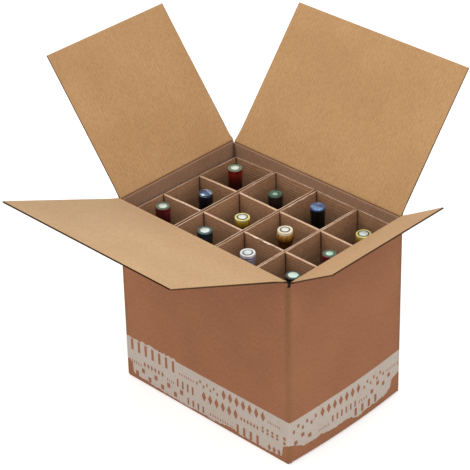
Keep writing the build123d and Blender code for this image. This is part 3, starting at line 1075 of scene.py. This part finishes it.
# Outlines in millimetres: points (outwards from CAPSULE_RADIUS, down from the top, material number), and the
# rounded edge (how far in from CAPSULE_RADIUS, its radius, steps, material number)
CAPSULE_FOOT = (
    (-1.0, 62, 0), (-0.5, 62, 0), (-0.3, 61.4, 0), (-0.45, 54, 0), (-0.6, 32, 0), (-0.5, 25, 0),
    (-0.05, 23, 0),
)
BEADS = (
    (-0.1, 15.6, 0), (-0.7, 14.8, 0), (-0.1, 14, 0), (-0.1, 9.6, 0), (-0.7, 8.8, 0), (-0.1, 8, 0),
    (-0.1, 4.4, 0), (-0.9, 3.8, 1),
)
CAPSULE_SHAPES = {
    "plain": (((0, 7, 0), (-0.35, 6.2, 0), (0, 5.4, 0)), (0, 1.6, 5, 1)),
    "rolled": (((0, 5.2, 0), (-0.6, 4.6, 0), (0, 4, 1)), (0, 1.3, 5, 1)),
    "beaded": (BEADS, (0.1, 1.2, 5, 1)),
    "flared": (((1.8, 20, 0), (2.4, 12, 0), (0.7, 6.5, 0), (-0.3, 5.5, 1)), (0, 1.4, 5, 1)),
    "dome": (((-0.1, 10, 0),), (0, 9, 10, 0)),
    "soft": (((0, 6, 0),), (0, 3.6, 7, 0)),
}
TOP_GLOSS = 0.3
SIDE_GLOSS = 0.28
GLOSSES = {"dome": 0.12, "soft": 0.14}
# height over which painted shade darkens a capsule's side
SIDE_FADE = 30 * MM
FADES = {"rolled": 17 * MM, "flared": 20 * MM}
CREASED_SHAPES = ("rolled", "flared")
SHOULDER_STEPS = 22


def build_bottle(column, row):
    cell = (column, row)
    node = f"bottle_{column}_{row}"
    low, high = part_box(node)
    centre = Vector(((low.x + high.x) / 2, (low.y + high.y) / 2, low.z))
    body = (high.x - low.x) / 2
    height = high.z - low.z
    shoulder_top = TALLEST - NECK_LENGTH
    body_top = shoulder_top - SHOULDER_LENGTH
    outline = [
        (body * 0.5, 16 * MM), (body * 0.72, 7 * MM), (body * 0.86, 0.0), (body - 1.6 * MM, 0.6 * MM),
        (body - 0.3 * MM, 3 * MM), (body, 7 * MM), (body, body_top * 0.5), (body, body_top),
    ]
    for step in range(1, SHOULDER_STEPS + 1):
        share = step / SHOULDER_STEPS
        radius = NECK_RADIUS + (body - NECK_RADIUS) * (1 + math.cos(math.pi * share)) / 2
        outline.append((radius, body_top + share * SHOULDER_LENGTH))
    foil_foot = height - CAPSULE_LENGTH
    outline += [
        (NECK_RADIUS, (shoulder_top + foil_foot) / 2), (NECK_RADIUS, foil_foot + 4 * MM),
        (NECK_RADIUS - 0.4 * MM, height - 26 * MM), (NECK_RADIUS - 0.4 * MM, height - 3 * MM),
    ]
    profile = [(radius, level, 0) for radius, level in outline]
    lathe(f"bottle_glass_{column}_{row}", profile, [GLASSES[GLASS_OF.get(cell, "dark")]], centre, [node])
    build_capsule(cell, centre, height)


def build_capsule(cell, centre, height):
    shape, side, deep, top_rings = CAPSULES[cell]
    name = f"capsule_{cell[0]}_{cell[1]}"
    side_material = foil(
        f"{name}_side", side, deep, GLOSSES.get(shape, SIDE_GLOSS), top=centre.z + height,
        painted_highlights=DOME_PAINTED_HIGHLIGHTS.get(cell), fade=FADES.get(shape, SIDE_FADE), creased=shape in CREASED_SHAPES,
    )

    def plain_foil(part, tone, dim, metallic):
        return foil(f"{name}_{part}", tone, [value * dim for value in tone], TOP_GLOSS, metallic)

    rim_material = plain_foil("rim", RIMS[cell], 0.8, 0.2) if cell in RIMS else side_material
    tops = [plain_foil(f"top_{number}", tone, 0.86, 0.25) for number, (_, tone) in enumerate(top_rings)]
    materials = [side_material, rim_material, *tops]
    upper, (inset, fillet, turns, slot) = CAPSULE_SHAPES[shape]
    outline = CAPSULE_FOOT + upper
    profile = [(CAPSULE_RADIUS + out * MM, height - down * MM, number) for out, down, number in outline]
    profile += rounded(CAPSULE_RADIUS - inset * MM, height, fillet * MM, turns, slot)
    profile += top_of_capsule(profile[-1][0], height, top_rings)
    lathe(name, profile, materials, centre, sides=64)


def top_of_capsule(edge_radius, height, top_rings):
    """The top face inwards: a raised rim, then pressed rings, each with its tone."""
    if not top_rings:
        return [(edge_radius * 0.5, height, 0), (edge_radius * 0.1, height, 0)]
    made = []
    last_level, last_slot = height, 1
    for number in reversed(range(len(top_rings))):
        level = height - (0.35 if (len(top_rings) - number) % 2 else 0.05) * MM
        radius = CAPSULE_RADIUS * top_rings[number][0]
        made += [(radius + 0.25 * MM, last_level, last_slot), (radius - 0.25 * MM, level, 2 + number)]
        last_level, last_slot = level, 2 + number
    return made + [(0.5 * MM, last_level, 2)]


for column in range(1, 5):
    for row in range(1, 4):
        build_bottle(column, row)


# Print: a worn grey band round the foot of the walls, with rows of plain kraft shapes left out of it

ROUND = ("front_left", "front_right", "back_right", "back_left")
CORNER_LENGTH = CORNER_RADIUS * math.pi / 2
INK_LIFT = 0.05 * MM
INK_BACK = 0.06 * MM
MARK_LIFT = 0.09 * MM
MARK_BACK = 0.02 * MM
BAND_SPACING = 1.5 * MM

# Along each wall from its middle, in millimetres: the band's lower and upper edge, and, from 0 to 1, how
# worn the upper one is
LONG_LOWER = (
    (-208, 40), (-196, 36), (-194, 12), (-135, 8), (-54, 5), (0, 8), (15, 5), (70, 13), (86, 8),
    (162, 8), (194, 13), (197, 36), (208, 41),
)
SHORT_LOWER = (
    (-149, 42), (-125, 31), (-118, 27), (-90, 26), (-78, 30), (-49, 24), (9, 25), (12, 20), (29, 14),
    (54, 18), (107, 18), (123, 27), (128, 43), (149, 49),
)
LONG_UPPER = ((-208, 92), (-190, 95), (-76, 97), (-73, 94.5), (208, 95))
SHORT_UPPER = ((-149, 94), (-60, 97), (149, 100))
LONG_WORN = ((-208, 1), (-76, 1), (-73, 0), (208, 0))
SHORT_WORN = ((-149, 0), (149, 0))

# Groups of marks: start and end along the wall, lower and upper edge, and how many shapes
LONG_MARKS = (
    (-204, -74, 66, 91, 7), (-69, -27, 68, 73, 7), (-25, 37, 68, 82, 7), (41, 156, 67, 89, 7),
    (159, 191, 70, 75, 7), (-206, -170, 36, 43, 6), (-167, -109, 40, 52, 6), (-103, -82, 38, 43.5, 4),
    (-79, -26, 38, 56, 4), (-11, 87, 38, 60, 6), (89, 138, 41, 51, 6), (141, 189, 42, 55, 4),
    (-193, -54, 11, 34, 8), (-52, 1, 10, 25, 4), (10, 61, 13, 19, 8), (64, 72, 13, 18, 2),
    (75, 142, 9, 28, 4), (157, 193, 9, 24, 3), (194, 207, 40, 58, 1),
)
SHORT_MARKS = (
    (-148, -82, 66, 82, 6), (-78, 36, 67, 88, 7), (40, 106, 68, 83, 7), (108, 141, 70, 75, 7),
    (-147, -94, 39, 58, 3), (-82, -51, 38, 43, 6), (-49, 25, 41, 55, 6), (27, 55, 43, 49, 4),
    (59, 127, 45, 64, 4), (11, 88, 20, 37, 4), (143, 148, 66, 88, 1),
)


def walls_of_skin():
    """For each wall in turn where its straight part begins on the way round, its side, and half its length.
    Then the length of the whole way."""
    start, found = 0.0, []
    for name in ROUND:
        side = SIDES[name]
        half = side.half_face - CORNER_RADIUS
        found.append((start, side, half))
        start += 2 * half + CORNER_LENGTH
    return found, start


SKIN_WALLS, SKIN_LENGTH = walls_of_skin()


def skin(p, t, d):
    """Point near the carton's outer face: p on the way round it, t up, d inwards."""
    made = np.zeros(p.shape + (3,))
    for start, side, half in SKIN_WALLS:
        wall = side.wall(p - start - half, t, d)
        made = np.where(((p >= start) & (p <= start + 2 * half))[..., None], wall, made)
        angle = (p - start - 2 * half) / CORNER_RADIUS
        centre = side.out * (side.face - CORNER_RADIUS) + side.along * half
        turned = np.cos(angle)[..., None] * side.out + np.sin(angle)[..., None] * side.along
        corner = centre + (CORNER_RADIUS - d)[..., None] * turned + t[..., None] * UP
        made = np.where(((angle > 0) & (angle <= math.pi / 2))[..., None], corner, made)
    return made


def band_edge(long_edge, short_edge):
    """A function from the place on the way round to the height of an edge of the band."""
    places, levels = [], []
    for start, side, half in SKIN_WALLS:
        edge = short_edge if side.name in SHORT_SIDES else long_edge
        places += [start + half + s * MM for s, _ in edge]
        levels += [level * MM for _, level in edge]
    places.append(SKIN_LENGTH)
    levels.append(levels[0])
    return lambda p: np.interp(p, places, levels)


def build_band():
    columns = []
    for start, _, half in SKIN_WALLS:
        end = start + 2 * half
        columns += [steps(start, end, BAND_SPACING)[:-1], np.linspace(end, end + CORNER_LENGTH, 9)[:-1]]
    p = np.concatenate(columns + [[SKIN_LENGTH - 0.2 * MM]])
    wear = ragged_line(7, SKIN_LENGTH, 1.6 * MM, 3.1 * MM)
    fine_wear = ragged_line(11, SKIN_LENGTH, 0.3 * MM, 2.3 * MM)
    upper_wear = ragged_line(5, SKIN_LENGTH, 2.6 * MM, 4.6 * MM)
    upper = band_edge(LONG_UPPER, SHORT_UPPER)(p)
    worn = band_edge(LONG_WORN, SHORT_WORN)(p) / MM
    top = upper + fine_wear(p) + worn * upper_wear(p)
    bottom = band_edge(LONG_LOWER, SHORT_LOWER)(p) + wear(p)
    share = np.linspace(0, 1, 11)[:, None]
    maker = Maker()
    maker.shell(skin, p, bottom * (1 - share) + top * share, -INK_LIFT, INK_BACK, (0, 0, 0))
    maker.finish("print_band", [GREY_INK], "carton", slot="outer_board")


# Ornaments: each repeats its cells in turn, and a cell is a list of blocks (width, foot, head, pointed) in
# shares of its place
ORNAMENTS = (
    (((0.34, 0.0, 1.0, 0),),),
    (((0.46, 0.0, 0.46, 0),), ((0.46, 0.54, 1.0, 0),)),
    (((0.68, 0.0, 1.0, 1),),),
    (((0.42, 0.0, 0.42, 0), (0.42, 0.58, 1.0, 0)),),
)
LEAST_ORNAMENT_HEIGHT = 9
POINTEDNESS = 0.92


def build_marks():
    """Rows of blocks and diamonds in the wall's own kraft colour. Each row repeats one plain shape."""
    maker = Maker()
    draw = np.random.default_rng(23)
    rise = np.linspace(0, 1, 5)[:, None]
    for start, side, half in SKIN_WALLS:
        groups = SHORT_MARKS if side.name in SHORT_SIDES else LONG_MARKS
        for first, last, low, high, count in groups:
            ornament = ORNAMENTS[draw.integers(len(ORNAMENTS))]
            if high - low < LEAST_ORNAMENT_HEIGHT:
                ornament = ORNAMENTS[0]
            pitch = (last - first) / count
            for k in range(count):
                middle = first + (k + 0.5) * pitch
                for width, foot, head, pointed in ornament[k % len(ornament)]:
                    across = width * (1 - pointed * POINTEDNESS * np.abs(2 * rise - 1))
                    s = middle + pitch * across * np.array([[-0.5, 0.5]])
                    t = low + (high - low) * (foot + (head - foot) * rise)
                    place = start + half + s * MM
                    maker.shell(skin, place, t * MM, -MARK_LIFT, MARK_BACK - INK_LIFT, (0, 0, 0))
    maker.finish("print_marks", [OUTER], "carton", slot="outer_board")


build_band()
build_marks()


# Floor, light and camera

FLOOR_GLOW = 0.45
WORLD_LIGHT = 0.95


def build_floor():
    reach = 6.0
    corners = [(-reach, -reach, 0), (reach, -reach, 0), (reach, reach, 0), (-reach, reach, 0)]
    mesh = bpy.data.meshes.new("floor")
    mesh.from_pydata(corners, [], [(0, 1, 2, 3)])
    floor = bpy.data.objects.new("floor", mesh)
    bpy.context.collection.objects.link(floor)
    material = bpy.data.materials.new("floor_white")
    material.use_nodes = True
    mesh.materials.append(material)
    tree = material.node_tree
    tree.nodes.remove(tree.nodes["Principled BSDF"])
    nodes = Nodes(tree)
    seen = nodes.node("ShaderNodeLightPath", {}, "Is Camera Ray")
    glow = nodes.node("ShaderNodeEmission", {"Strength": nodes.math("MULTIPLY", seen, FLOOR_GLOW)})
    diffuse = nodes.node("ShaderNodeBsdfDiffuse", {"Color": (0.8, 0.8, 0.8, 1)})
    both = nodes.node("ShaderNodeAddShader", {0: diffuse, 1: glow})
    nodes.feed(tree.nodes["Material Output"].inputs["Surface"], both)


def build_world():
    world = bpy.data.worlds.new("studio")
    bpy.context.scene.world = world
    world.use_nodes = True
    nodes = Nodes(world.node_tree)
    rays = [nodes.node("ShaderNodeLightPath", {}, ray) for ray in ("Is Camera Ray", "Is Transmission Ray")]
    background = world.node_tree.nodes["Background"].inputs
    nodes.feed(background["Color"], (1, 1, 1, 1))
    nodes.feed(background["Strength"], nodes.between(nodes.math("MAXIMUM", *rays), WORLD_LIGHT, 1.0))


def build_light(name, place, target, size, power):
    lamp = bpy.data.lights.new(name, "AREA")
    lamp.size = size
    lamp.energy = power
    lamp.color = (1.0, 0.985, 0.96)
    light = bpy.data.objects.new(name, lamp)
    light.location = place
    light.rotation_mode = "QUATERNION"
    light.rotation_quaternion = (Vector(target) - Vector(place)).to_track_quat("-Z", "Y")
    bpy.context.collection.objects.link(light)


def build_camera():
    """The photograph's view, as fitted to the box's corners: turned about Z, tipped down, rolled a little."""
    azimuth, elevation, roll = (math.radians(v) for v in (44.604724, 31.78353, -1.381077))
    focal_pixels, frame_pixels = 2082.8463, 470
    distance, shift_right, shift_up = 3.9987146, -0.0524664, 0.2831676
    level = math.cos(elevation)
    back = Vector((math.sin(azimuth) * level, -math.cos(azimuth) * level, math.sin(elevation)))
    right = Vector((math.cos(azimuth), math.sin(azimuth), 0))
    up = back.cross(right)
    right, up = right * math.cos(roll) + up * math.sin(roll), up * math.cos(roll) - right * math.sin(roll)
    data = bpy.data.cameras.new("camera")
    data.sensor_width = 36
    data.lens = data.sensor_width * focal_pixels / frame_pixels
    data.clip_end = 100
    camera = bpy.data.objects.new("camera", data)
    turn = Matrix((right, up, back)).transposed().to_4x4()
    camera.matrix_world = Matrix.Translation(back * distance + right * shift_right + up * shift_up) @ turn
    bpy.context.collection.objects.link(camera)
    bpy.context.scene.camera = camera


build_floor()
build_world()
build_light("left_light", (-0.9, -1.6, 2.4), (0, 0, 0.3), 0.7, 9)
build_light("right_light", (1.5, -0.6, 2.3), (0, 0, 0.3), 0.7, 7)
build_camera()
bpy.context.scene.view_settings.view_transform = "Standard"
